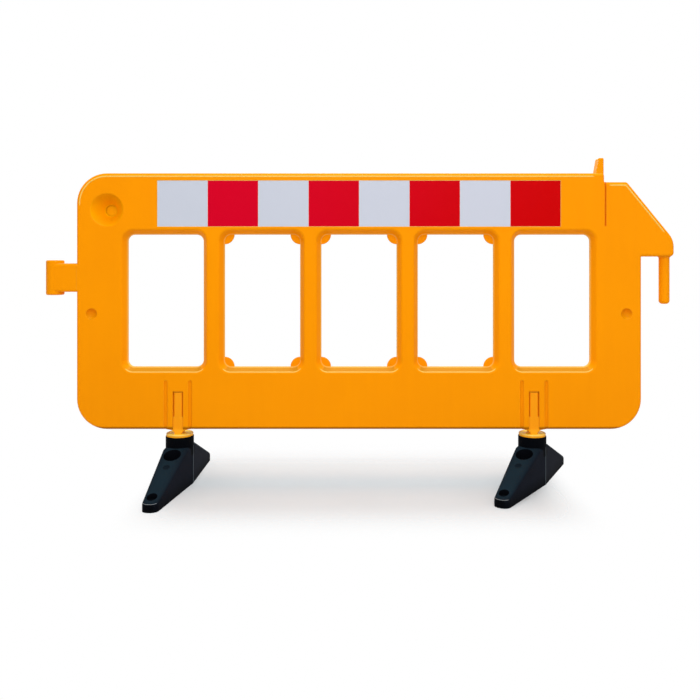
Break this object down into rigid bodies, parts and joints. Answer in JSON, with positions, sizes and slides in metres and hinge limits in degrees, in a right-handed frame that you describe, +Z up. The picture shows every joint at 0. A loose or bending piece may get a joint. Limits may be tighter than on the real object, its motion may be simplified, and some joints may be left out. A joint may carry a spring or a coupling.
{
  "type": "safety barrier",
  "caption": "Free-standing pedestrian barrier: a hollow orange plastic panel with windows, reflective film, coupling ends and swivelling low-trip black feet.",
  "frame": {"origin": "on the ground under the middle of the barrier's length, on the panel's mid-plane", "axes": "+X along the barrier towards the shoulder with the peg, +Y towards the back, +Z up"},
  "size_m": [2.0146, 0.5787, 1.046],
  "materials": {
    "panel_plastic": "orange moulded polyethylene, satin",
    "post_plastic": "orange moulded polyethylene, satin",
    "white_film": "white retroreflective film",
    "red_film": "red retroreflective film",
    "foot_rubber": "black moulded rubber",
    "zinc_steel": "zinc-plated steel",
    "brass": "turned brass"
  },
  "bodies": {
    "barrier_panel": {"panel_shell": "panel_plastic", "coupling_eye": "panel_plastic", "coupling_pin": "panel_plastic", "front_film_1": "white_film", "front_film_2": "red_film", "front_film_3": "white_film", "front_film_4": "red_film", "front_film_5": "white_film", "front_film_6": "red_film", "front_film_7": "white_film", "front_film_8": "red_film", "rear_film_1": "white_film", "rear_film_2": "red_film", "rear_film_3": "white_film", "rear_film_4": "red_film", "rear_film_5": "white_film", "rear_film_6": "red_film", "rear_film_7": "white_film", "rear_film_8": "red_film", "left_swivel_post": "post_plastic", "right_swivel_post": "post_plastic", "left_pivot_washer": "zinc_steel", "left_pivot_bolt": "zinc_steel", "left_pivot_insert": "brass", "right_pivot_washer": "zinc_steel", "right_pivot_bolt": "zinc_steel", "right_pivot_insert": "brass"},
    "left_foot": {"left_foot": "foot_rubber"},
    "right_foot": {"right_foot": "foot_rubber"}
  },
  "joints": [
    {"name": "left_foot_swivel", "type": "hinge", "parent": "barrier_panel", "child": "left_foot", "pos_m": [-0.578, 0, 0], "axis": [0, 0, 1], "continuous": true},
    {"name": "right_foot_swivel", "type": "hinge", "parent": "barrier_panel", "child": "right_foot", "pos_m": [0.559, 0, 0], "axis": [0, 0, 1], "continuous": true}
  ]
}
